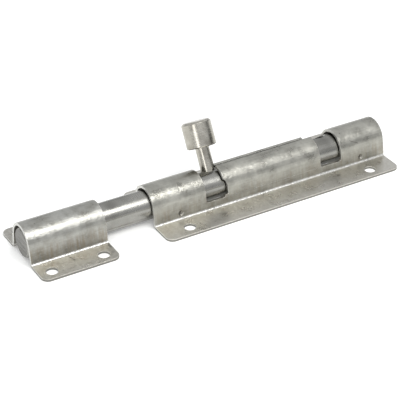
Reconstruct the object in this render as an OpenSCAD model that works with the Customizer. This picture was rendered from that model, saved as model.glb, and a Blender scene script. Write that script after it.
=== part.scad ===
// Barrel bolt in pressed and turned stainless steel: a case that carries a
// sliding, turning rod with a screwed-in knob, and a keeper that takes its end.
// The rod runs along X with its tip towards -X. Near side is -Y, far side +Y.
// The origin is the middle of the case on the mounting surface.

/* [Rod] */
// Diameter of the rod
rod_d = 16; // [12:0.5:20]
// How far the rod's tip stops short of the keeper's outer end
tip_gap = 0.15; // [0.05:0.05:8]
// How far the rod's other end stops short of the case's rear end
rod_back_gap = 5.35; // [1:0.05:20]
// Chamfer on the ends of the rod
rod_chamfer = 0.8; // [0.3:0.1:2]
// Width of the countersink around each cross hole
hole_flare = 0.6; // [0.2:0.1:1.2]

/* [Knob] */
// Diameter of the knob
knob_d = 16; // [12:0.5:20]
// Length of the knob's body
knob_len = 14; // [8:0.5:20]
// Distance from the rod's axis to the knob's outer face
knob_reach = 34.5; // [30:0.5:45]
// Chamfer round the knob's outer face
knob_chamfer = 1.1; // [0.3:0.1:2]
// Edge break round the knob's inner face
knob_break = 0.5; // [0.2:0.1:1]
// Diameter of the knob's neck, which runs on into the rod as its stud
neck_d = 7.5; // [5:0.1:9]
// How far the stud stops short of the hole's far mouth
stud_gap = 1; // [0.2:0.1:3]
// Radial clearance between the stud and its cross hole
stud_clear = 0.04; // [0.01:0.01:0.1]
// Width of the lathe centre mark in the knob's face
centre_mark_d = 1; // [0.4:0.1:2]

/* [Sheet] */
// Thickness of the pressed sheet
sheet = 1.5; // [1:0.1:2]
// Radial clearance between the rod and the arches
arch_clear = 0.6; // [0.3:0.05:1]
// How far the rod's axis sits below the arches' centre
rod_sag = 0.5; // [0:0.05:0.6]
// Gap between the rod and the mounting surface
rod_lift = 0.7; // [0.2:0.1:2]
// Slope of the arch walls from upright, in degrees
splay = 9; // [4:0.5:14]
// Inside radius of the bend between wall and flange
bend_r = 1.3; // [0.8:0.1:2]

/* [Case] */
// Length of the case
case_len = 144; // [120:1:200]
// Width of the case over its flanges
case_w = 53; // [46:1:64]
// Corner radius of the case's flanges
case_corner = 4; // [1:0.5:6]
// Length of the front saddle
front_saddle = 31; // [24:0.5:34]
// Length of the rear saddle
rear_saddle = 28; // [24:0.5:30]
// Travel of the neck between its seat and the front saddle
neck_travel = 5.4; // [3:0.1:10]
// Length of the rear window
rear_window = 13.5; // [10:0.1:16]
// Height of the windows' sills above the mounting surface
sill = 5.8; // [4:0.1:6]
// Radius in the windows' lower corners
window_corner = 1.5; // [0.5:0.1:3]
// How far the knob's seat is cut back into the near cheek
seat_depth = 1.6; // [0.5:0.1:3]
// Clearance round the neck in its seat
seat_clear = 0.4; // [0.2:0.1:1]
// Height angle of the seat's centre above the near side, in degrees
seat_angle = 20; // [12:1:30]
// How far the near cheek reaches past the crown
cheek_past = 0.4; // [-1:0.1:0.5]
// Clearance between the neck and the cheeks on either side of the slot
slot_clear = 0.3; // [0.2:0.05:0.5]

/* [Dimples] */
// Width of a dimple
dimple_d = 3; // [2:0.1:4]
// Depth of a dimple in the outside face
dimple_depth = 1; // [0.5:0.1:1.2]
// Clearance between a dimple and the rod
dimple_clear = 0.1; // [0.05:0.05:0.5]
// Distance down the wall from its tangent with the arch to a dimple
dimple_low = 6; // [5:0.1:7]

/* [Keeper] */
// Length of the keeper
keeper_len = 42.5; // [38:0.5:60]
// Width of the keeper over its flanges
keeper_w = 52.5; // [46:0.5:64]
// Corner radius of the keeper's flanges
keeper_corner = 4; // [1:0.5:6]
// Gap between the keeper and the case
keeper_gap = 27; // [10:0.5:30]

/* [Screw holes] */
// Diameter of the screw holes
screw_d = 6.4; // [4:0.1:7]
// Distance from a screw hole's centre to the side of the case
case_screw_side = 6.2; // [5:0.1:8]
// Distance from a screw hole's centre to the side of the keeper
keeper_screw_side = 5.95; // [5:0.05:8]
// Distance from a screw hole's centre to the end of the case
case_screw_end = 15.5; // [8:0.5:20]
// Distance from a screw hole's centre to the end of the keeper
keeper_screw_end = 7; // [5:0.5:12]

/* [Hidden] */
$fn = 96;
// Overshoot of cutting shapes past the faces they cut
cut = 1;
rod_r = rod_d / 2;
rod_h = rod_r + rod_lift;
arch_h = rod_h + rod_sag;
arch_in = rod_r + arch_clear;
arch_out = arch_in + sheet;

// The case's ends, saddles and windows, then the keeper's ends, along the rod.
// The front window is as long as the neck and its travel, less the cut of the seat
case_front = -case_len / 2;
case_back = case_len / 2;
window_x0 = case_front + front_saddle;
window_x1 = window_x0 + neck_travel + neck_d + seat_clear - seat_depth;
back_window_x1 = case_back - rear_saddle;
back_window_x0 = back_window_x1 - rear_window;
keeper_x1 = case_front - keeper_gap;
keeper_x0 = keeper_x1 - keeper_len;

// The knob stands over the seat, and the spare cross hole shows in the rear window
knob_x = window_x1 + seat_depth - seat_clear - neck_d / 2;
spare_x = (back_window_x0 + back_window_x1) / 2;

// The rod reaches from the keeper's outer end into the rear saddle
tip_x = keeper_x0 + tip_gap;
rod_len = case_back - rod_back_gap - tip_x;

// The wall leaves each arch on a slope, and foot is the centre of the bend below it.
// lap is a tiny overlap that makes a round outline and a straight one cross cleanly
lap = 0.003;
bend_out = bend_r + sheet;
wall_top = arch_h + arch_out * sin(splay);
foot_y = arch_out * cos(splay) + tan(splay) * (wall_top - sheet - bend_r) + bend_r / cos(splay);
foot_z = sheet + bend_r;
wall_up = [-sin(splay), cos(splay)];

// The slot leaves the neck slot_clear from the near cheek's inside edge on one side and
// from the far cheek's on the other. Angles are from upright, far side positive
neck_room = neck_d / 2 + slot_clear;
near_edge = [cheek_past, arch_h - rod_h + sqrt(arch_in * arch_in - cheek_past * cheek_past)];
knob_angle = atan2(near_edge[0], near_edge[1]) + asin(neck_room / norm(near_edge));
across_neck = [cos(knob_angle), -sin(knob_angle)];
far_tangent = round_arch(arch_in - lap, splay) - [0, rod_h];
far_cheek_rise = (neck_room - across_neck * far_tangent) / (across_neck * wall_up);

// The dimples stand beside the case's screw holes
screw_x = case_back - case_screw_end;

// A dimple's middle on the wall's inside face, and the sizes that keep it off the rod
dimple_at = round_arch(arch_in, splay) - dimple_low / cos(splay) * wall_up;
boss_r = norm([dimple_at[0], dimple_at[1] - rod_h]) - rod_r - dimple_clear;
dent_r = (dimple_d * dimple_d / 4 + dimple_depth * dimple_depth) / (2 * dimple_depth);

// Point at radius r and angle a round the arches' centre, far side at 0
function round_arch(r, a) = [r * cos(a), arch_h + r * sin(a)];
// Point at radius r from the bend's centre, at angle a
function round_foot(r, a) = [foot_y + r * cos(a), foot_z + r * sin(a)];

// The same point on the near side
function near(p) = [-p[0], p[1]];

// Rounds of radius r at both bends' centres
module foot_rounds(r) {
    for (side = [-1, 1])
        translate([side * foot_y, foot_z]) circle(r = r);
}

// Section of a saddle from its outside face down to the mounting surface, filled in
module saddle_outline(w) {
    top = round_arch(arch_out - lap, splay);
    foot = round_foot(bend_r, 180 + splay);
    half = [[w / 2, 0], [w / 2, sheet], [foot_y, sheet], [foot_y, foot_z], foot, top];
    translate([0, arch_h]) circle(r = arch_out);
    difference() {
        polygon(concat(half, [for (i = [len(half) - 1:-1:0]) near(half[i])]));
        foot_rounds(bend_r + lap);
    }
}

// Section of the hollow that the rod lies in
module saddle_hollow() {
    top = round_arch(arch_in - lap, splay);
    foot = round_foot(bend_out, 180 + splay);
    half = [[foot_y, -cut], [foot_y, foot_z], foot, top];
    translate([0, arch_h]) circle(r = arch_in);
    difference() {
        polygon(concat(half, [for (i = [len(half) - 1:-1:0]) near(half[i])]));
        foot_rounds(bend_out + lap);
    }
}

// Whole section of a saddle, flange to flange
module saddle_section(w) {
    difference() {
        saddle_outline(w);
        saddle_hollow();
    }
}

// Section of the far cheek, whose wall runs on straight past the saddles' tangent
module far_cheek_section() {
    foot_out = round_foot(bend_r, 180 + splay);
    foot_in = round_foot(bend_out, 180 + splay);
    top_out = round_arch(arch_out - lap, splay);
    top_in = round_arch(arch_in - lap, splay);
    up = far_cheek_rise * wall_up;
    polygon([foot_in, foot_out, top_out, top_out + up, top_in + up, top_in]);
}

// Runs a section from x0 to x1, with the section's x along Y and its y along Z
module along_rod(x0, x1) {
    translate([x0, 0, 0]) rotate([90, 0, 90]) linear_extrude(height = x1 - x0) children();
}

// The waste that leaves a round corner on a flange whose corner is at [x, y]
module corner_waste(x, y, r) {
    sx = sign(x);
    sy = sign(y);
    translate([x, y, -cut]) mirror([sx < 0 ? 1 : 0, 0, 0]) mirror([0, sy < 0 ? 1 : 0, 0])
        difference() {
            translate([-r, -r, 0]) cube([r + cut, r + cut, sheet + 2 * cut]);
            translate([-r, -r, -cut]) cylinder(r = r, h = sheet + 4 * cut);
        }
}

module screw_holes(x0, x1, half_rows) {
    for (x = [x0, x1], y = [-half_rows, half_rows])
        translate([x, y, -cut]) cylinder(d = screw_d, h = sheet + 2 * cut);
}

// A window cut right across the case, with rounded lower corners
module window_waste(x0, x1) {
    top = arch_h + arch_out + cut;
    translate([0, case_w / 2, 0]) rotate([90, 0, 0]) linear_extrude(height = case_w) {
        translate([x0, sill + window_corner]) square([x1 - x0, top - sill - window_corner]);
        translate([x0 + window_corner, sill]) square([x1 - x0 - 2 * window_corner, top - sill]);
        for (x = [x0 + window_corner, x1 - window_corner])
            translate([x, sill + window_corner]) circle(r = window_corner);
    }
}

// Seat for the knob's neck, cut back into the front edge of the near cheek
module seat_waste() {
    seat_r = neck_d / 2 + seat_clear;
    seat_x = window_x1 + seat_depth - seat_r;
    reach = 2 * arch_out;
    translate([seat_x, 0, rod_h]) rotate([90 - seat_angle, 0, 0]) cylinder(r = seat_r, h = reach);
    low = rod_h + arch_out * sin(seat_angle) - sill - window_corner;
    translate([seat_x, -reach, sill + window_corner]) cube([seat_r, reach, low]);
}

// Puts what follows at each dimple, with its Z pointing inwards square to the wall
// and its origin on the wall's inside face
module dimples() {
    for (x = [-screw_x, screw_x], side = [-1, 1])
        translate([x, side * dimple_at[0], dimple_at[1]])
            rotate([side * (90 + splay), 0, 0]) children();
}

// Round boss on the wall's inside face
module dimple_boss() {
    intersection() {
        sphere(r = boss_r);
        translate([-boss_r, -boss_r, -sheet / 2]) cube([2 * boss_r, 2 * boss_r, 2 * boss_r]);
    }
}

// Round dent in the wall's outside face
module dimple_dent() {
    translate([0, 0, dimple_depth - sheet - dent_r]) sphere(r = dent_r);
}

module case() {
    color("silver") {
        difference() {
            union() {
                difference() {
                    along_rod(case_front, case_back) saddle_section(case_w);
                    // The slot: the far half of the crown is cut away between the saddles
                    translate([window_x0, cheek_past, arch_h])
                        cube([back_window_x1 - window_x0, case_w, 2 * arch_out]);
                }
                along_rod(window_x1, back_window_x0) far_cheek_section();
            }
            for (x = [case_front, case_back], y = [-case_w / 2, case_w / 2])
                corner_waste(x, y, case_corner);
            screw_holes(-screw_x, screw_x, case_w / 2 - case_screw_side);
            window_waste(window_x0, window_x1);
            window_waste(back_window_x0, back_window_x1);
            seat_waste();
            dimples() dimple_dent();
        }
        dimples() dimple_boss();
    }
}

module keeper() {
    half = keeper_len / 2;
    color("silver") translate([keeper_x0 + half, 0, 0]) difference() {
        along_rod(-half, half) saddle_section(keeper_w);
        for (x = [-half, half], y = [-keeper_w / 2, keeper_w / 2])
            corner_waste(x, y, keeper_corner);
        screw_holes(keeper_screw_end - half, half - keeper_screw_end, keeper_w / 2 - keeper_screw_side);
    }
}

// Places what follows at x on the rod's axis, with its Z along the knob's axis
module on_knob_axis(x) {
    translate([x, 0, rod_h]) rotate([-knob_angle, 0, 0]) children();
}

module cross_hole() {
    hole_r = neck_d / 2 + stud_clear;
    flare_h = hole_flare + cut;
    translate([0, 0, -rod_r - cut]) cylinder(r = hole_r, h = rod_d + 2 * cut);
    for (a = [0, 180])
        rotate([a, 0, 0]) translate([0, 0, rod_r - hole_flare])
            cylinder(r1 = hole_r, r2 = hole_r + flare_h, h = flare_h);
}

module bolt_rod() {
    color("darkgray") difference() {
        translate([tip_x, 0, rod_h]) rotate([0, 90, 0]) {
            cylinder(r1 = rod_r - rod_chamfer, r2 = rod_r, h = rod_chamfer);
            translate([0, 0, rod_chamfer]) cylinder(r = rod_r, h = rod_len - 2 * rod_chamfer);
            translate([0, 0, rod_len - rod_chamfer])
                cylinder(r1 = rod_r, r2 = rod_r - rod_chamfer, h = rod_chamfer);
        }
        on_knob_axis(knob_x) cross_hole();
        on_knob_axis(spare_x) cross_hole();
    }
}

module knob() {
    knob_back = knob_reach - knob_len;
    color("lightgray") on_knob_axis(knob_x) difference() {
        rotate_extrude() polygon([
            [0, stud_gap - rod_r],
            [neck_d / 2, stud_gap - rod_r],
            [neck_d / 2, knob_back],
            [knob_d / 2 - knob_break, knob_back],
            [knob_d / 2, knob_back + knob_break],
            [knob_d / 2, knob_reach - knob_chamfer],
            [knob_d / 2 - knob_chamfer, knob_reach],
            [0, knob_reach]
        ]);
        translate([0, 0, knob_reach - centre_mark_d / 2])
            cylinder(d1 = 0, d2 = centre_mark_d + cut, h = (centre_mark_d + cut) / 2);
    }
}

case();
keeper();
bolt_rod();
knob();
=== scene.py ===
import math

import bpy
from mathutils import Matrix, Quaternion, Vector


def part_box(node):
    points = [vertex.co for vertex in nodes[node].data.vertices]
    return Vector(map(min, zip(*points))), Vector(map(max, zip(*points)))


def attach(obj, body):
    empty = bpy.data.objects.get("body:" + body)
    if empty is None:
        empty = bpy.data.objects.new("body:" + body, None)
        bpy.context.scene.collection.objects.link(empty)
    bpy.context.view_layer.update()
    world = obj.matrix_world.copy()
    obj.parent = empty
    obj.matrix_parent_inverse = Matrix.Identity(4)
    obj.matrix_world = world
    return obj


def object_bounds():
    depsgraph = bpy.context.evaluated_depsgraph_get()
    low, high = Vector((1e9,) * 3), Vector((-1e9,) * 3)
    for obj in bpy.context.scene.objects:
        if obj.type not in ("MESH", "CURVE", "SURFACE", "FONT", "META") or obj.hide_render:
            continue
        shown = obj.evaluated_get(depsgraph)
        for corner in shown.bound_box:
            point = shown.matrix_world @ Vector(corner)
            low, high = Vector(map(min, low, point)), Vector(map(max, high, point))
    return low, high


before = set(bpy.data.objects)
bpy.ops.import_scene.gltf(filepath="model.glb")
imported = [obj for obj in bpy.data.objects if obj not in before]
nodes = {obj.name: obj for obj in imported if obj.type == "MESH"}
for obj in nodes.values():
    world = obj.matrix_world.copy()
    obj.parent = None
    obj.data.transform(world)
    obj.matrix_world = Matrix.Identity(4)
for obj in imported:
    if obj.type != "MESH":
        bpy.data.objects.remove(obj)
cadLow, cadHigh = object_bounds()
mm = 0.001
perMm = 1000.0  # a texture's cells for each metre, when a cell is one millimetre
print("frame loaded:", ", ".join(sorted(nodes)))


def linear(hexColour):  # "#rrggbb" as seen on a screen, to the linear values that shaders take
    parts = [int(hexColour[i:i + 2], 16) / 255 for i in (1, 3, 5)]
    return [c / 12.92 if c < 0.04045 else ((c + 0.055) / 1.055) ** 2.4 for c in parts] + [1.0]


def cells(size):  # the size of a pattern's cell in mm, as the scale that a Mapping node takes
    return tuple(perMm / length for length in size)


def addNode(tree, kind, settings=None, inputs=None, stops=None):
    # inputs are set where they are numbers or colours and joined where they are another node's output;
    # a Mix node's colours go in by number, 6 and 7, since its sockets' names repeat
    node = tree.nodes.new(kind)
    for name, value in (settings or {}).items():
        setattr(node, name, value)
    for key, value in (inputs or {}).items():
        if isinstance(value, bpy.types.NodeSocket):
            tree.links.new(value, node.inputs[key])
        else:
            node.inputs[key].default_value = value
    if stops:
        elements = node.color_ramp.elements
        while len(elements) < len(stops):
            elements.new(0.5)
        for element, (place, colour) in zip(elements, stops):
            element.position = place
            element.color = colour if isinstance(colour, list) else [colour, colour, colour, 1.0]
    return node


# the camera: a long lens, looking down on the near side from the keeper's end
cameraChoice = {
    "place": (-368.8, -572.8, 413.3),  # mm from the middle of the case
    "azimuth": -29.94,  # degrees, 0 looks along +Y
    "elevation": 31.94,
    "roll": -0.39,
    "lens": 132.8,  # mm, on a sensor this wide
    "sensor": 36.0,
    "nearest": 0.05,  # metres, where the view begins
}


def placeCamera(choice):
    data = bpy.data.cameras.new("camera")
    data.lens = choice["lens"]
    data.sensor_width = choice["sensor"]
    data.clip_start = choice["nearest"]
    camera = bpy.data.objects.new("camera", data)
    bpy.context.collection.objects.link(camera)
    turn, rise = math.radians(choice["azimuth"]), math.radians(choice["elevation"])
    ahead = Vector((-math.sin(turn) * math.cos(rise), math.cos(turn) * math.cos(rise), -math.sin(rise)))
    camera.location = Vector(choice["place"]) * mm
    camera.rotation_mode = "QUATERNION"
    aim = ahead.to_track_quat("-Z", "Y")
    camera.rotation_quaternion = Quaternion(-ahead, math.radians(choice["roll"])) @ aim
    bpy.context.scene.camera = camera


placeCamera(cameraChoice)
print("camera placed")

# the studio: white paper under a large soft key lamp, in a room with a pale horizon and ceiling
studioChoice = {
    "floorColour": "#f4f4f2",
    "floorLift": 0.2,  # how much the paper glows where it is seen, straight or in metal, to read white
    "floorSize": 6.0,  # metres
    "floorDrop": 0.05,  # mm under the bolt, so that the paper and the flanges don't share one plane
    "horizon": "#dadbdb",
    "wall": "#a8a9ab",
    "ceiling": "#cdced0",
    "roomLevels": (0.09, 0.15, 0.25, 0.5),  # 0 at eye level, 1 overhead: horizon, wall, wall, ceiling
    "flag": 0.3,  # the light left by a black cloth at the right-hand end, which darkens the knob's side
    "flagEdge": (0.76, 0.84),  # where the cloth begins and is full, 0 across the bolt and 1 along it
    "worldStrength": 1.4,
    "keyPlace": (0.06, -0.48, 0.78),  # metres from the bolt's middle
    "keySize": (0.6, 0.45),
    "keyPower": 4.6,  # watts
    "stripPlace": (-0.9, -0.74, 0.27),  # a strip lamp for the knob's side
    "stripSize": (0.3, 0.7),
    "stripPower": 1.9,
}


def newMaterial(name):
    material = bpy.data.materials.new(name)
    material.use_nodes = True
    material.node_tree.nodes.clear()
    return material, material.node_tree


def studioFloor(choice):
    material, tree = newMaterial("matt white paper")
    paper = addNode(tree, "ShaderNodeBsdfDiffuse", inputs={"Color": linear(choice["floorColour"])})
    path = addNode(tree, "ShaderNodeLightPath")
    seen = addNode(tree, "ShaderNodeMath", {"operation": "MAXIMUM"}, {
        0: path.outputs["Is Camera Ray"], 1: path.outputs["Is Glossy Ray"],
    })
    seen = addNode(tree, "ShaderNodeMath", {"operation": "MAXIMUM"}, {
        0: seen.outputs[0], 1: path.outputs["Is Transmission Ray"],
    })
    lift = addNode(tree, "ShaderNodeMath", {"operation": "MULTIPLY"}, {
        0: seen.outputs[0], 1: choice["floorLift"],
    })
    glow = addNode(tree, "ShaderNodeEmission", inputs={"Strength": lift.outputs[0]})
    both = addNode(tree, "ShaderNodeAddShader", inputs={0: paper.outputs[0], 1: glow.outputs[0]})
    addNode(tree, "ShaderNodeOutputMaterial", inputs={"Surface": both.outputs[0]})
    bpy.ops.mesh.primitive_plane_add(size=choice["floorSize"], location=(0, 0, -choice["floorDrop"] * mm))
    floor = bpy.context.object
    floor.name = "floor"
    floor.data.materials.append(material)


def studioWorld(choice):
    # pale at eye level, then walls dimmer than the ceiling, which give round metal a darker band
    # below its highlight
    world = bpy.data.worlds.new("studio")
    bpy.context.scene.world = world
    world.use_nodes = True
    tree = world.node_tree
    tree.nodes.clear()
    place = addNode(tree, "ShaderNodeTexCoord")
    split = addNode(tree, "ShaderNodeSeparateXYZ", inputs={0: place.outputs["Generated"]})
    tones = [linear(choice[part]) for part in ("horizon", "wall", "wall", "ceiling")]
    sky = addNode(
        tree, "ShaderNodeValToRGB", inputs={0: split.outputs["Z"]},
        stops=list(zip(choice["roomLevels"], tones)),
    )
    flagged = addNode(tree, "ShaderNodeMapRange", inputs={
        "Value": split.outputs["X"], "From Min": choice["flagEdge"][0], "From Max": choice["flagEdge"][1],
        "To Min": 1.0, "To Max": choice["flag"],
    })
    room = addNode(tree, "ShaderNodeVectorMath", {"operation": "SCALE"}, {
        0: sky.outputs[0], "Scale": flagged.outputs[0],
    })
    light = addNode(tree, "ShaderNodeBackground", inputs={0: room.outputs[0], 1: choice["worldStrength"]})
    addNode(tree, "ShaderNodeOutputWorld", inputs={"Surface": light.outputs[0]})


def softbox(name, place, size, power):
    data = bpy.data.lights.new(name, "AREA")
    data.shape = "RECTANGLE"
    data.size, data.size_y = size
    data.energy = power
    lamp = bpy.data.objects.new(name, data)
    bpy.context.collection.objects.link(lamp)
    lamp.location = (cadLow + cadHigh) / 2 + Vector(place)
    lamp.rotation_mode = "QUATERNION"
    lamp.rotation_quaternion = (-Vector(place)).to_track_quat("-Z", "Y")


studioFloor(studioChoice)
studioWorld(studioChoice)
softbox("keySoftbox", studioChoice["keyPlace"], studioChoice["keySize"], studioChoice["keyPower"])
softbox("stripSoftbox", studioChoice["stripPlace"], studioChoice["stripSize"], studioChoice["stripPower"])
print("floor, world and lamps made")

# pressed sheet: stainless steel 304, rolled to a dull 2B finish and then pressed
# the eye gets a soft cloudy sheen, faint lines along the rolling, upright drag marks from the die low on
# the walls where a warm brown stain stays, edges and bends painted bright as highlights, sheared ends
# burnished and painted bright, and painted shade in the dimples and low on the torn cut sides
caseChoice = {
    "light": "#b4b3ab",
    "dark": "#8b8a83",
    "stain": "#8b7c66",
    "stainAmount": 0.45,
    "flat": "#c8c4ba",  # flanges, which the press leaves alone
    "flatAmount": 0.7,
    # painted highlight: the light colour put on edges, bends and sheared ends, over the ends' real burnish
    "burnishAndHighlight": "#dededa",
    "endAmount": 0.6,  # how bright the sheared ends are painted: their burnish and a painted highlight
    # the torn tone of low cut sides, darkened further as painted shade
    "torn": "#85847f",
    "scratchTone": "#4b4742",
    # painted shade for the dimples' hollows
    "dentShade": "#4f4c47",
    "dentShadeAmount": 0.6,
    "toneStops": (0.6, 0.95),  # where the skin is darkest and lightest
    "toneShare": 0.3,  # how far bumps and rolling lines sway it
    "thickness": 1.5,  # mm
    "tornBelow": (0.75, 0.6),  # thicknesses up, where a cut side turns from burnished to torn and darkened, the dark partly painted shade
    "flatBelow": (1.4, 1.05),  # thicknesses up, where the flange's tone ends and is full
    "bendHeight": 1.35,  # thicknesses up
    "roughness": 0.24,
    "dullSpread": (-0.06, 0.12),  # added to the roughness under clear and clouded skin
    "dullness": {"rolling": 0.1, "drags": 0.12, "torn": 0.25, "bend": -0.08},  # added by each
    "cloud": 8.0,  # mm across a cloud in the sheen
    "peel": 1.7,  # mm across a bump of the pressed skin
    "grain": 0.6,  # mm; the real grain is nearer 0.05 and wouldn't show
    "rollingSize": (22, 0.7, 0.7),  # mm along and across a rolling line, coarser than real so that it shows
    "dragSize": (1.1, 25, 14),  # mm between the die's drag marks, and how far one runs across and up
    "dragTop": (12, 6),  # mm up, where drag marks begin and are full
    "wallFoot": (1.6, 3.4),  # mm up, where the wall begins and is upright
    "scratchSize": (16, 2.4, 2.4),  # mm along and between fine scratches
    "scratchTurn": (0.3, 0.5, 0.6),  # radians
    "scratchHalf": 0.008,  # half a scratch's width, as a share of the noise's range
    "scratchAmount": 0.11,
    "edgeHighlightRadius": 0.4,  # mm
    "edgeHighlightFrom": (0.985, 0.8),  # how alike the two normals are where the painted edge highlight begins and is full
    "bendHalf": (0.75, 0.2),  # mm from the middle of the bend, where its polish and painted highlight end and are full
    "depths": {  # mm
        "waves": 0.13,
        "peel": 0.17,
        "rolling": 0.014,
        "drags": 0.04,
        "grain": 0.05,
        "scratches": 0.03,
    },
    "seed": 3.0,
    "scratchSeed": 5,  # added to the seed
    "dent": (56.5, 10.9, 4.7),  # mm, the middle of a dimple; the other three mirror it
    "dentWidth": 3.4,
    "marks": [  # scratches: start, end and half width, in mm
        ((46.7, -3.5, 18.7), (51.0, -8.3, 14.9), 0.28),
        ((51.0, -8.3, 14.9), (55.5, -9.4, 12.9), 0.22),
    ],
}
keeperChoice = dict(
    caseChoice,
    light="#b4b4af",
    flat="#a6a298",
    stainAmount=0.65,
    roughness=0.25,
    seed=11.0,
    dentWidth=0.1,  # it has no dimples
    marks=[((-121.6, -14.2, 1.5), (-120.7, -17.2, 1.5), 0.85)],
)


def addMark(tree, place, start, end, width):
    # 1 on a scratch from start to end, in mm, and 0 away from it
    start, end = Vector(start) * mm, Vector(end) * mm
    along = end - start
    fromStart = addNode(tree, "ShaderNodeVectorMath", {"operation": "SUBTRACT"}, {0: place, 1: start})
    share = addNode(tree, "ShaderNodeVectorMath", {"operation": "DOT_PRODUCT"}, {
        0: fromStart.outputs[0], 1: along / along.length_squared,
    })
    held = addNode(tree, "ShaderNodeClamp", inputs={0: share.outputs["Value"]})
    foot = addNode(tree, "ShaderNodeVectorMath", {"operation": "SCALE"}, {
        0: along, "Scale": held.outputs[0],
    })
    gap = addNode(tree, "ShaderNodeVectorMath", {"operation": "DISTANCE"}, {
        0: fromStart.outputs[0], 1: foot.outputs[0],
    })
    line = addNode(tree, "ShaderNodeMapRange", {"interpolation_type": "SMOOTHSTEP"}, {
        "Value": gap.outputs["Value"], "From Min": width * mm, "From Max": 0.0, "To Min": 0.0,
        "To Max": 1.0,
    })
    return line.outputs[0]


def pressedSheet(name, choice):
    material, tree = newMaterial(name)
    place = addNode(tree, "ShaderNodeTexCoord").outputs["Object"]
    split = addNode(tree, "ShaderNodeSeparateXYZ", inputs={0: place})
    height = split.outputs["Z"]
    seed = choice["seed"]
    # clouds of duller and brighter skin
    cloud = addNode(tree, "ShaderNodeTexNoise", {"noise_dimensions": "4D"}, {
        "Vector": place, "W": seed, "Scale": perMm / choice["cloud"], "Detail": 4.0, "Roughness": 0.6,
    })
    # the skin's bumps, left by pressing
    peel = addNode(tree, "ShaderNodeTexNoise", {"noise_dimensions": "4D"}, {
        "Vector": place, "W": seed, "Scale": perMm / choice["peel"], "Detail": 3.0, "Roughness": 0.55,
    })
    # lines along the rolling, which runs along the bolt
    rolled = addNode(tree, "ShaderNodeMapping", inputs={
        "Vector": place, "Scale": cells(choice["rollingSize"]),
    })
    rolling = addNode(tree, "ShaderNodeTexNoise", inputs={
        "Vector": rolled.outputs[0], "Scale": 1.0, "Detail": 3.0, "Roughness": 0.6,
    })
    grain = addNode(tree, "ShaderNodeTexNoise", inputs={
        "Vector": place, "Scale": perMm / choice["grain"], "Detail": 2.0, "Roughness": 0.7,
    })
    # the die's drag marks, upright and low on the walls
    upright = addNode(tree, "ShaderNodeMapping", inputs={
        "Vector": place, "Scale": cells(choice["dragSize"]),
    })
    dragging = addNode(tree, "ShaderNodeTexNoise", {"noise_dimensions": "4D"}, {
        "Vector": upright.outputs[0], "W": seed, "Scale": 1.0, "Detail": 3.0, "Roughness": 0.65,
    })
    low = addNode(tree, "ShaderNodeMapRange", {"interpolation_type": "SMOOTHSTEP"}, {
        "Value": height, "From Min": choice["dragTop"][0] * mm, "From Max": choice["dragTop"][1] * mm,
        "To Min": 0.15, "To Max": 1.0,
    })
    onWall = addNode(tree, "ShaderNodeMapRange", {"interpolation_type": "SMOOTHSTEP"}, {
        "Value": height, "From Min": choice["wallFoot"][0] * mm, "From Max": choice["wallFoot"][1] * mm,
        "To Min": 0.25, "To Max": 1.0,
    })
    lowWall = addNode(tree, "ShaderNodeMath", {"operation": "MULTIPLY"}, {
        0: low.outputs[0], 1: onWall.outputs[0],
    })
    dragLine = addNode(tree, "ShaderNodeMapRange", inputs={
        "Value": dragging.outputs[0], "From Min": 0.35, "From Max": 0.7, "To Min": 0.0, "To Max": 1.0,
    })
    dragHere = addNode(tree, "ShaderNodeMath", {"operation": "MULTIPLY"}, {
        0: dragLine.outputs[0], 1: lowWall.outputs[0],
    })
    # fine scratches: thin contours of a stretched noise, broken up by the clouds
    scratched = addNode(tree, "ShaderNodeMapping", inputs={
        "Vector": place, "Rotation": choice["scratchTurn"], "Scale": cells(choice["scratchSize"]),
    })
    scratchField = addNode(tree, "ShaderNodeTexNoise", {"noise_dimensions": "4D"}, {
        "Vector": scratched.outputs[0], "W": seed + choice["scratchSeed"], "Scale": 1.0, "Detail": 1.0,
    })
    offMiddle = addNode(tree, "ShaderNodeMath", {"operation": "SUBTRACT"}, {
        0: scratchField.outputs[0], 1: 0.5,
    })
    offMiddle = addNode(tree, "ShaderNodeMath", {"operation": "ABSOLUTE"}, {0: offMiddle.outputs[0]})
    scratchLine = addNode(tree, "ShaderNodeMapRange", inputs={
        "Value": offMiddle.outputs[0], "From Min": choice["scratchHalf"], "From Max": 0.0, "To Min": 0.0,
        "To Max": 1.0,
    })
    scratchPatch = addNode(tree, "ShaderNodeMapRange", inputs={
        "Value": cloud.outputs[0], "From Min": 0.48, "From Max": 0.62, "To Min": 0.0,
        "To Max": choice["scratchAmount"],
    })
    scratch = addNode(tree, "ShaderNodeMath", {"operation": "MULTIPLY"}, {
        0: scratchLine.outputs[0], 1: scratchPatch.outputs[0],
    }).outputs[0]
    for start, end, width in choice["marks"]:
        mark = addMark(tree, place, start, end, width)
        scratch = addNode(tree, "ShaderNodeMath", {"operation": "MAXIMUM"}, {
            0: scratch, 1: mark,
        }).outputs[0]
    # painted highlight on the edges: where a rounded edge's normal leaves the true one, the colour is
    # lightened
    rounded = addNode(tree, "ShaderNodeBevel", {"samples": 4}, {"Radius": choice["edgeHighlightRadius"] * mm})
    true = addNode(tree, "ShaderNodeNewGeometry")
    alike = addNode(tree, "ShaderNodeVectorMath", {"operation": "DOT_PRODUCT"}, {
        0: rounded.outputs[0], 1: true.outputs["Normal"],
    })
    edge = addNode(tree, "ShaderNodeMapRange", inputs={
        "Value": alike.outputs["Value"], "From Min": choice["edgeHighlightFrom"][0], "From Max": choice["edgeHighlightFrom"][1],
        "To Min": 0.0, "To Max": 1.0,
    })
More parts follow.
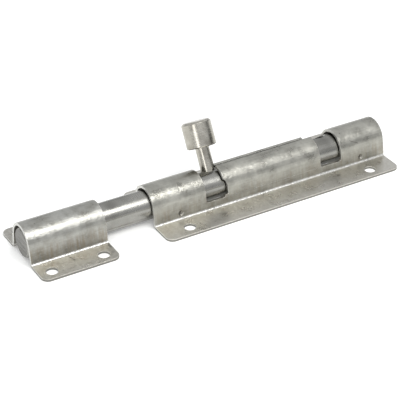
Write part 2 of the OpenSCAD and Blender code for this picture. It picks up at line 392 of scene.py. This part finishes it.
    # the cut sides of flanges and holes: burnished by the punch above, torn, dull and darker below; the
    # darkening is partly painted shade on the hole walls
    trueSplit = addNode(tree, "ShaderNodeSeparateXYZ", inputs={0: true.outputs["True Normal"]})
    upShare = addNode(tree, "ShaderNodeMath", {"operation": "ABSOLUTE"}, {0: trueSplit.outputs["Z"]})
    sideways = addNode(tree, "ShaderNodeMath", {"operation": "LESS_THAN"}, {0: upShare.outputs[0], 1: 0.3})
    inFlange = addNode(tree, "ShaderNodeMapRange", inputs={
        "Value": height, "From Min": choice["thickness"] * choice["tornBelow"][0] * mm,
        "From Max": choice["thickness"] * choice["tornBelow"][1] * mm, "To Min": 0.0, "To Max": 1.0,
    })
    torn = addNode(tree, "ShaderNodeMath", {"operation": "MULTIPLY"}, {
        0: sideways.outputs[0], 1: inFlange.outputs[0],
    })
    # painted shade in the dimples: the colour darkened in their hollows
    folded = addNode(tree, "ShaderNodeVectorMath", {"operation": "ABSOLUTE"}, {0: place})
    toDent = addNode(tree, "ShaderNodeVectorMath", {"operation": "DISTANCE"}, {
        0: folded.outputs[0], 1: Vector(choice["dent"]) * mm,
    })
    inDent = addNode(tree, "ShaderNodeMapRange", {"interpolation_type": "SMOOTHSTEP"}, {
        "Value": toDent.outputs["Value"], "From Min": choice["dentWidth"] / 2 * mm,
        "From Max": choice["dentWidth"] / 4 * mm, "To Min": 0.0, "To Max": choice["dentShadeAmount"],
    })
    # flanges left flat by the press, the bends above them polished by it and painted bright as a highlight,
    # and sheared ends, burnished and painted bright
    onFlat = addNode(tree, "ShaderNodeMapRange", inputs={
        "Value": height, "From Min": choice["thickness"] * choice["flatBelow"][0] * mm,
        "From Max": choice["thickness"] * choice["flatBelow"][1] * mm,
        "To Min": 0.0, "To Max": choice["flatAmount"],
    })
    fromBend = addNode(tree, "ShaderNodeMath", {"operation": "SUBTRACT"}, {
        0: height, 1: choice["thickness"] * choice["bendHeight"] * mm,
    })
    fromBend = addNode(tree, "ShaderNodeMath", {"operation": "ABSOLUTE"}, {0: fromBend.outputs[0]})
    onBend = addNode(tree, "ShaderNodeMapRange", {"interpolation_type": "SMOOTHSTEP"}, {
        "Value": fromBend.outputs[0], "From Min": choice["bendHalf"][0] * mm,
        "From Max": choice["bendHalf"][1] * mm, "To Min": 0.0, "To Max": 1.0,
    })
    # the bend's painted highlight, broken into patches
    bendHighlightPatches = addNode(tree, "ShaderNodeMapRange", inputs={
        "Value": peel.outputs[0], "From Min": 0.38, "From Max": 0.58, "To Min": 0.35, "To Max": 0.85,
    })
    bendBright = addNode(tree, "ShaderNodeMath", {"operation": "MULTIPLY"}, {
        0: onBend.outputs[0], 1: bendHighlightPatches.outputs[0],
    })
    # sheared ends lightened: the shear's burnish and a painted highlight
    lengthShare = addNode(tree, "ShaderNodeMath", {"operation": "ABSOLUTE"}, {0: trueSplit.outputs["X"]})
    onEnd = addNode(tree, "ShaderNodeMapRange", inputs={
        "Value": lengthShare.outputs[0], "From Min": 0.88, "From Max": 0.9, "To Min": 0.0,
        "To Max": choice["endAmount"],
    })
    bright = addNode(tree, "ShaderNodeMath", {"operation": "MAXIMUM"}, {
        0: edge.outputs[0], 1: bendBright.outputs[0],
    })
    bright = addNode(tree, "ShaderNodeMath", {"operation": "MAXIMUM"}, {
        0: bright.outputs[0], 1: onEnd.outputs[0],
    })
    # colour
    toneMix = addNode(tree, "ShaderNodeMath", {"operation": "MULTIPLY_ADD"}, {
        0: peel.outputs[0], 1: choice["toneShare"], 2: cloud.outputs[0],
    })
    tone = addNode(tree, "ShaderNodeMath", {"operation": "MULTIPLY_ADD"}, {
        0: rolling.outputs[0], 1: choice["toneShare"], 2: toneMix.outputs[0],
    })
    skin = addNode(
        tree, "ShaderNodeValToRGB", inputs={0: tone.outputs[0]},
        stops=list(zip(choice["toneStops"], (linear(choice["dark"]), linear(choice["light"])))),
    )
    flattened = addNode(tree, "ShaderNodeMix", {"data_type": "RGBA"}, {
        0: onFlat.outputs[0], 6: skin.outputs[0], 7: linear(choice["flat"]),
    })
    stainShare = addNode(tree, "ShaderNodeMath", {"operation": "MULTIPLY"}, {
        0: dragHere.outputs[0], 1: choice["stainAmount"],
    })
    stained = addNode(tree, "ShaderNodeMix", {"data_type": "RGBA"}, {
        0: stainShare.outputs[0], 6: flattened.outputs[2], 7: linear(choice["stain"]),
    })
    nicked = addNode(tree, "ShaderNodeMix", {"data_type": "RGBA"}, {
        0: scratch, 6: stained.outputs[2], 7: linear(choice["scratchTone"]),
    })
    # edges, bends and sheared ends lightened: painted highlight, with the ends' burnish
    rubsAndHighlights = addNode(tree, "ShaderNodeMix", {"data_type": "RGBA"}, {
        0: bright.outputs[0], 6: nicked.outputs[2], 7: linear(choice["burnishAndHighlight"]),
    })
    cutSide = addNode(tree, "ShaderNodeMix", {"data_type": "RGBA"}, {
        0: torn.outputs[0], 6: rubsAndHighlights.outputs[2], 7: linear(choice["torn"]),
    })
    dentShaded = addNode(tree, "ShaderNodeMix", {"data_type": "RGBA"}, {
        0: inDent.outputs[0], 6: cutSide.outputs[2], 7: linear(choice["dentShade"]),
    })
    # roughness
    dull = addNode(tree, "ShaderNodeMapRange", inputs={
        "Value": cloud.outputs[0], "From Min": 0.3, "From Max": 0.7,
        "To Min": choice["roughness"] + choice["dullSpread"][0],
        "To Max": choice["roughness"] + choice["dullSpread"][1],
    })
    for part, pattern in (("rolling", rolling), ("drags", dragHere), ("torn", torn), ("bend", bendBright)):
        dull = addNode(tree, "ShaderNodeMath", {"operation": "MULTIPLY_ADD"}, {
            0: pattern.outputs[0], 1: choice["dullness"][part], 2: dull.outputs[0],
        })
    # relief, coarse to fine; scratches go in and the rest stands out
    relief = {
        "waves": cloud.outputs[0],
        "peel": peel.outputs[0],
        "rolling": rolling.outputs[0],
        "drags": dragHere.outputs[0],
        "grain": grain.outputs[0],
        "scratches": scratch,
    }
    under = {}
    for part, pattern in relief.items():
        bump = addNode(tree, "ShaderNodeBump", {"invert": part == "scratches"}, {
            "Strength": 1.0, "Distance": choice["depths"][part] * mm, "Height": pattern, **under,
        })
        under = {"Normal": bump.outputs[0]}
    shader = addNode(tree, "ShaderNodeBsdfPrincipled", inputs={
        "Base Color": dentShaded.outputs[2], "Metallic": 1.0, "Roughness": dull.outputs[0], **under,
    })
    addNode(tree, "ShaderNodeOutputMaterial", inputs={"Surface": shader.outputs[0]})
    return material


# rod: stainless bar, drawn bright and ground round
# the eye gets narrow bright and dark bands, hair lines round the bar and a few long rub marks from sliding
rodChoice = {
    "light": "#9b9a95",
    "dark": "#7e7d78",
    # the sawn ends' colour, darkened partly as painted shade
    "sawnShadedEnd": "#737270",
    "rub": "#d9d6d0",
    "toneStops": (0.3, 0.6),  # where the polish is darkest and lightest
    "roughness": 0.19,
    "dullSpread": (-0.04, 0.06),  # added to the roughness under clear and clouded polish
    "dullness": {"rubs": 0.1, "rings": 0.06, "sawnShadedEnd": 0.25},  # added by each
    "endFrom": 0.95,  # how squarely a face looks along the bar to be an end
    "ringSize": (0.35, 12, 12),  # mm; real grinding lines are nearer 0.02 apart and wouldn't show
    "rubSize": (45, 0.9, 0.9),  # mm along and across a rub mark
    "cloud": 14,  # mm across a cloud in the polish
    "bladeSize": (5, 9, 0.8),  # mm; the last is between the saw's lines
    "bladeTurn": (0.6, 0.0, 0.0),  # radians
    "depths": {"rings": 0.007, "rubs": 0.008, "blade": 0.05},  # mm
    "holePitch": 69.1,  # mm from the knob's hole to the spare one
    "lean": 28.95,  # degrees from upright of both holes, towards the far side
}


def drawnBar(name, choice):
    material, tree = newMaterial(name)
    place = addNode(tree, "ShaderNodeTexCoord").outputs["Object"]
    ringed = addNode(tree, "ShaderNodeMapping", inputs={
        "Vector": place, "Scale": cells(choice["ringSize"]),
    })
    rings = addNode(tree, "ShaderNodeTexNoise", inputs={
        "Vector": ringed.outputs[0], "Scale": 1.0, "Detail": 3.0, "Roughness": 0.7,
    })
    rubbedAlong = addNode(tree, "ShaderNodeMapping", inputs={
        "Vector": place, "Scale": cells(choice["rubSize"]),
    })
    rubs = addNode(tree, "ShaderNodeTexNoise", inputs={
        "Vector": rubbedAlong.outputs[0], "Scale": 1.0, "Detail": 2.0,
    })
    rubLine = addNode(tree, "ShaderNodeMapRange", inputs={
        "Value": rubs.outputs[0], "From Min": 0.58, "From Max": 0.7, "To Min": 0.0, "To Max": 1.0,
    })
    cloud = addNode(tree, "ShaderNodeTexNoise", inputs={
        "Vector": place, "Scale": perMm / choice["cloud"], "Detail": 3.0,
    })
    skin = addNode(
        tree, "ShaderNodeValToRGB", inputs={0: cloud.outputs[0]},
        stops=list(zip(choice["toneStops"], (linear(choice["dark"]), linear(choice["light"])))),
    )
    rubsAndHighlights = addNode(tree, "ShaderNodeMix", {"data_type": "RGBA", "blend_type": "MULTIPLY"}, {
        0: rubLine.outputs[0], 6: skin.outputs[0], 7: linear(choice["rub"]),
    })
    dull = addNode(tree, "ShaderNodeMapRange", inputs={
        "Value": cloud.outputs[0], "From Min": 0.3, "From Max": 0.7,
        "To Min": choice["roughness"] + choice["dullSpread"][0],
        "To Max": choice["roughness"] + choice["dullSpread"][1],
    })
    dull = addNode(tree, "ShaderNodeMath", {"operation": "MULTIPLY_ADD"}, {
        0: rubLine.outputs[0], 1: choice["dullness"]["rubs"], 2: dull.outputs[0],
    })
    dull = addNode(tree, "ShaderNodeMath", {"operation": "MULTIPLY_ADD"}, {
        0: rings.outputs[0], 1: choice["dullness"]["rings"], 2: dull.outputs[0],
    })
    # the ends are sawn: duller, with the blade's lines across them, and darkened in colour, partly as
    # painted shade
    true = addNode(tree, "ShaderNodeNewGeometry")
    trueSplit = addNode(tree, "ShaderNodeSeparateXYZ", inputs={0: true.outputs["True Normal"]})
    alongShare = addNode(tree, "ShaderNodeMath", {"operation": "ABSOLUTE"}, {0: trueSplit.outputs["X"]})
    onEnd = addNode(tree, "ShaderNodeMath", {"operation": "GREATER_THAN"}, {
        0: alongShare.outputs[0], 1: choice["endFrom"],
    })
    bladed = addNode(tree, "ShaderNodeMapping", inputs={
        "Vector": place, "Rotation": choice["bladeTurn"], "Scale": cells(choice["bladeSize"]),
    })
    blade = addNode(tree, "ShaderNodeTexNoise", inputs={
        "Vector": bladed.outputs[0], "Scale": 1.0, "Detail": 4.0, "Roughness": 0.7,
    })
    bladeTone = addNode(tree, "ShaderNodeMapRange", inputs={
        "Value": blade.outputs[0], "From Min": 0.4, "From Max": 0.6, "To Min": 0.25, "To Max": 1.0,
    })
    sawnShadedShare = addNode(tree, "ShaderNodeMath", {"operation": "MULTIPLY"}, {
        0: onEnd.outputs[0], 1: bladeTone.outputs[0],
    })
    finished = addNode(tree, "ShaderNodeMix", {"data_type": "RGBA"}, {
        0: sawnShadedShare.outputs[0], 6: rubsAndHighlights.outputs[2], 7: linear(choice["sawnShadedEnd"]),
    })
    dull = addNode(tree, "ShaderNodeMath", {"operation": "MULTIPLY_ADD"}, {
        0: onEnd.outputs[0], 1: choice["dullness"]["sawnShadedEnd"], 2: dull.outputs[0],
    })
    hairs = addNode(tree, "ShaderNodeBump", inputs={
        "Strength": 1.0, "Distance": choice["depths"]["rings"] * mm, "Height": rings.outputs[0],
    })
    grooves = addNode(tree, "ShaderNodeBump", {"invert": True}, {
        "Strength": 1.0, "Distance": choice["depths"]["rubs"] * mm, "Height": rubLine.outputs[0],
        "Normal": hairs.outputs[0],
    })
    blades = addNode(tree, "ShaderNodeBump", inputs={
        "Strength": 1.0, "Distance": choice["depths"]["blade"] * mm, "Height": sawnShadedShare.outputs[0],
        "Normal": grooves.outputs[0],
    })
    shader = addNode(tree, "ShaderNodeBsdfPrincipled", inputs={
        "Base Color": finished.outputs[2], "Metallic": 1.0, "Roughness": dull.outputs[0],
        "Normal": blades.outputs[0],
    })
    addNode(tree, "ShaderNodeOutputMaterial", inputs={"Surface": shader.outputs[0]})
    return material


# knob: stainless bar turned on a lathe, with the tool's feed left on it
# the eye gets fine rings round the side and rings about the middle of the face, in a slightly warm grey
knobChoice = {
    "light": "#bdbab1",
    "dark": "#9d998f",
    "toneStops": (0.4, 0.75),  # where the metal is darkest and lightest
    "smearShare": 0.2,  # how far the specks sway it
    "roughness": 0.17,
    "dullSpread": (-0.05, 0.08),  # added to the roughness under clear and clouded metal
    "feedDullness": 0.12,
    "feed": 1.1,  # mm between tool marks; a real feed of 0.1 wouldn't show
    "faceReach": 34.5,  # mm from the rod's axis to the face
    "faceEdge": (0.06, 0.03),  # mm under the face, where its rings begin and are full
    "cloud": 5,  # mm across a cloud in the polish
    "smear": 0.8,  # mm across a speck of smeared metal
    "depths": {"feed": 0.03, "smear": 0.006},  # mm
}


def turnedBar(name, choice, centre, lean):
    material, tree = newMaterial(name)
    place = addNode(tree, "ShaderNodeTexCoord").outputs["Object"]
    # the knob's own frame: origin on the rod's axis, Z out along the knob
    fromAxis = addNode(tree, "ShaderNodeVectorMath", {"operation": "SUBTRACT"}, {0: place, 1: centre})
    own = addNode(tree, "ShaderNodeVectorRotate", {"rotation_type": "X_AXIS"}, {
        "Vector": fromAxis.outputs[0], "Angle": math.radians(lean),
    })
    split = addNode(tree, "ShaderNodeSeparateXYZ", inputs={0: own.outputs[0]})
    flat = addNode(tree, "ShaderNodeCombineXYZ", inputs={0: split.outputs["X"], 1: split.outputs["Y"]})
    radius = addNode(tree, "ShaderNodeVectorMath", {"operation": "LENGTH"}, {0: flat.outputs[0]})
    onFace = addNode(tree, "ShaderNodeMapRange", inputs={
        "Value": split.outputs["Z"], "From Min": (choice["faceReach"] - choice["faceEdge"][0]) * mm,
        "From Max": (choice["faceReach"] - choice["faceEdge"][1]) * mm, "To Min": 0.0, "To Max": 1.0,
    })
    feedFrom = addNode(tree, "ShaderNodeMix", {"data_type": "FLOAT"}, {
        0: onFace.outputs[0], 2: split.outputs["Z"], 3: radius.outputs["Value"],
    })
    feed = addNode(tree, "ShaderNodeTexNoise", {"noise_dimensions": "1D"}, {
        "W": feedFrom.outputs[0], "Scale": perMm / choice["feed"], "Detail": 3.0, "Roughness": 0.6,
    })
    cloud = addNode(tree, "ShaderNodeTexNoise", inputs={
        "Vector": place, "Scale": perMm / choice["cloud"], "Detail": 4.0,
    })
    smear = addNode(tree, "ShaderNodeTexNoise", inputs={
        "Vector": place, "Scale": perMm / choice["smear"], "Detail": 3.0,
    })
    blend = addNode(tree, "ShaderNodeMath", {"operation": "MULTIPLY_ADD"}, {
        0: smear.outputs[0], 1: choice["smearShare"], 2: cloud.outputs[0],
    })
    skin = addNode(
        tree, "ShaderNodeValToRGB", inputs={0: blend.outputs[0]},
        stops=list(zip(choice["toneStops"], (linear(choice["dark"]), linear(choice["light"])))),
    )
    dull = addNode(tree, "ShaderNodeMapRange", inputs={
        "Value": cloud.outputs[0], "From Min": 0.3, "From Max": 0.7,
        "To Min": choice["roughness"] + choice["dullSpread"][0],
        "To Max": choice["roughness"] + choice["dullSpread"][1],
    })
    dull = addNode(tree, "ShaderNodeMath", {"operation": "MULTIPLY_ADD"}, {
        0: feed.outputs[0], 1: choice["feedDullness"], 2: dull.outputs[0],
    })
    cuts = addNode(tree, "ShaderNodeBump", inputs={
        "Strength": 1.0, "Distance": choice["depths"]["feed"] * mm, "Height": feed.outputs[0],
    })
    grits = addNode(tree, "ShaderNodeBump", inputs={
        "Strength": 1.0, "Distance": choice["depths"]["smear"] * mm, "Height": smear.outputs[0],
        "Normal": cuts.outputs[0],
    })
    shader = addNode(tree, "ShaderNodeBsdfPrincipled", inputs={
        "Base Color": skin.outputs[0], "Metallic": 1.0, "Roughness": dull.outputs[0],
        "Normal": grits.outputs[0],
    })
    addNode(tree, "ShaderNodeOutputMaterial", inputs={"Surface": shader.outputs[0]})
    return material


rodLow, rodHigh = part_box("bolt_rod")
knobLow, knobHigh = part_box("knob")
rodHeight = (rodLow.z + rodHigh.z) / 2
knobCentre = Vector(((knobLow.x + knobHigh.x) / 2, 0.0, rodHeight))

finishes = {
    "case": pressedSheet("pressed stainless sheet", caseChoice),
    "keeper": pressedSheet("pressed stainless sheet with drag marks", keeperChoice),
    "bolt_rod": drawnBar("bright drawn stainless bar", rodChoice),
    "knob": turnedBar("turned stainless bar", knobChoice, knobCentre, rodChoice["lean"]),
}
for node, finish in finishes.items():
    nodes[node].data.materials.clear()
    nodes[node].data.materials.append(finish)
print("finishes made")

# broken edges: no real edge is knife sharp
# "join" is the length under which edges are joined first: the case has some that are shorter than the
# break itself, and it would fold there
edgeBreak = {
    "case": {"width": 0.12, "join": 0.14},  # mm
    "keeper": {"width": 0.12, "join": 0.001},
    "bolt_rod": {"width": 0.08, "join": 0.001},
    "knob": {"width": 0.08, "join": 0.001},
}
edgeShape = {
    "segments": 2,
    "sharpFrom": 35,  # degrees between two faces
    "flatWeight": 60,  # how far large faces pull the shading flat
}

for node, choice in edgeBreak.items():
    weld = nodes[node].modifiers.new("join the faces", "WELD")
    weld.merge_threshold = choice["join"] * mm
    bevel = nodes[node].modifiers.new("break the edges", "BEVEL")
    bevel.width = choice["width"] * mm
    bevel.segments = edgeShape["segments"]
    bevel.limit_method = "ANGLE"
    bevel.angle_limit = math.radians(edgeShape["sharpFrom"])
    bevel.use_clamp_overlap = False
    shade = nodes[node].modifiers.new("even shading", "WEIGHTED_NORMAL")
    shade.weight = edgeShape["flatWeight"]
print("edges broken")

# thread in the spare hole: M8 in pitch and crest, right through the bar, with its root in the hole's wall
# the eye gets dark, even turns inside the hole: their colours are darker than the bar's, as painted shade
threadChoice = {
    "pitch": 1.25,  # mm
    "crest": 3.32,  # mm from the hole's middle
    "root": 3.84,  # 0.05 inside the metal, where a real groove goes on to 4.0
    "crestHalf": 0.08,  # as a share of the pitch
    "rootHalf": 0.45,
    "halfLength": 7.1,  # mm
    "stepsPerTurn": 36,
    "sharpFrom": 30,  # degrees
    # colours darker than the bar's: painted shade inside the hole
    "finish": {"light": "#8f8e89", "dark": "#6b6a66", "roughness": 0.3},
}


def threadRidge(choice, centre, lean):
    # the ridge between two turns of the groove, run round the hole as a helix
    pitch, half, steps = choice["pitch"], choice["halfLength"], choice["stepsPerTurn"]
    crest, root = choice["crest"], choice["root"]
    narrow, wide = choice["crestHalf"] * pitch, choice["rootHalf"] * pitch
    profile = [(root, -wide), (crest, -narrow), (crest, narrow), (root, wide)]
    corners = len(profile)
    count = int((2 * half - pitch) / pitch * steps)
    turned = Matrix.Rotation(math.radians(-lean), 3, "X")
    points, faces = [], []
    for i in range(count + 1):
        angle = 2 * math.pi * i / steps
        rise = -half + pitch / 2 + pitch * i / steps
        for radius, offset in profile:
            point = Vector((radius * math.cos(angle), radius * math.sin(angle), rise + offset)) * mm
            points.append(centre + turned @ point)
        if i:
            a, b = corners * (i - 1), corners * i
            for k in range(corners):
                after = (k + 1) % corners
                faces.append((a + k, a + after, b + after, b + k))
    faces += [tuple(reversed(range(corners))), tuple(corners * count + k for k in range(corners))]
    mesh = bpy.data.meshes.new("spare_hole_thread")
    mesh.from_pydata(points, [], faces)
    mesh.polygons.foreach_set("use_smooth", [True] * len(mesh.polygons))
    mesh.set_sharp_from_angle(angle=math.radians(choice["sharpFrom"]))
    mesh.update()
    ridge = bpy.data.objects.new("spare_hole_thread", mesh)
    bpy.context.collection.objects.link(ridge)
    return ridge


threadFinish = drawnBar("cut thread in stainless bar", dict(rodChoice, **threadChoice["finish"]))
spareCentre = knobCentre + Vector((rodChoice["holePitch"] * mm, 0, 0))
thread = threadRidge(threadChoice, spareCentre, rodChoice["lean"])
thread.data.materials.append(threadFinish)
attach(thread, "bolt")
print("thread cut")

bpy.context.scene.view_settings.view_transform = "Standard"
bpy.context.view_layer.update()
